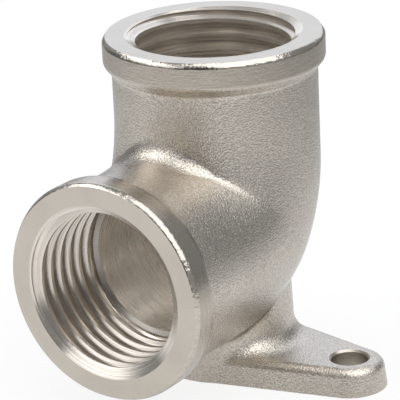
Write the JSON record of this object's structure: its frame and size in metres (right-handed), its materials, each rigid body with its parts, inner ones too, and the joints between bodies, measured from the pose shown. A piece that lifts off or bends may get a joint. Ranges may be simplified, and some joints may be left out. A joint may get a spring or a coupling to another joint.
{
  "type": "wall plate elbow",
  "caption": "Forged female pipe elbow with collared threaded sockets at a right angle and screw ears on a round post, for fixing a pipe outlet to a wall.",
  "frame": {"origin": "on the wall face, under the outlet's axis and midway between the screw holes", "axes": "+Z out of the wall along the outlet, -Y out of the inlet, X through both screw holes"},
  "size_m": [0.0452, 0.0386, 0.0424],
  "materials": {
    "nickel_plated_brass": "nickel plate over forged brass: satin blasted skin, smoother turned faces, bright cut threads"
  },
  "bodies": {
    "root": {"elbow_body": "nickel_plated_brass"}
  },
  "joints": []
}
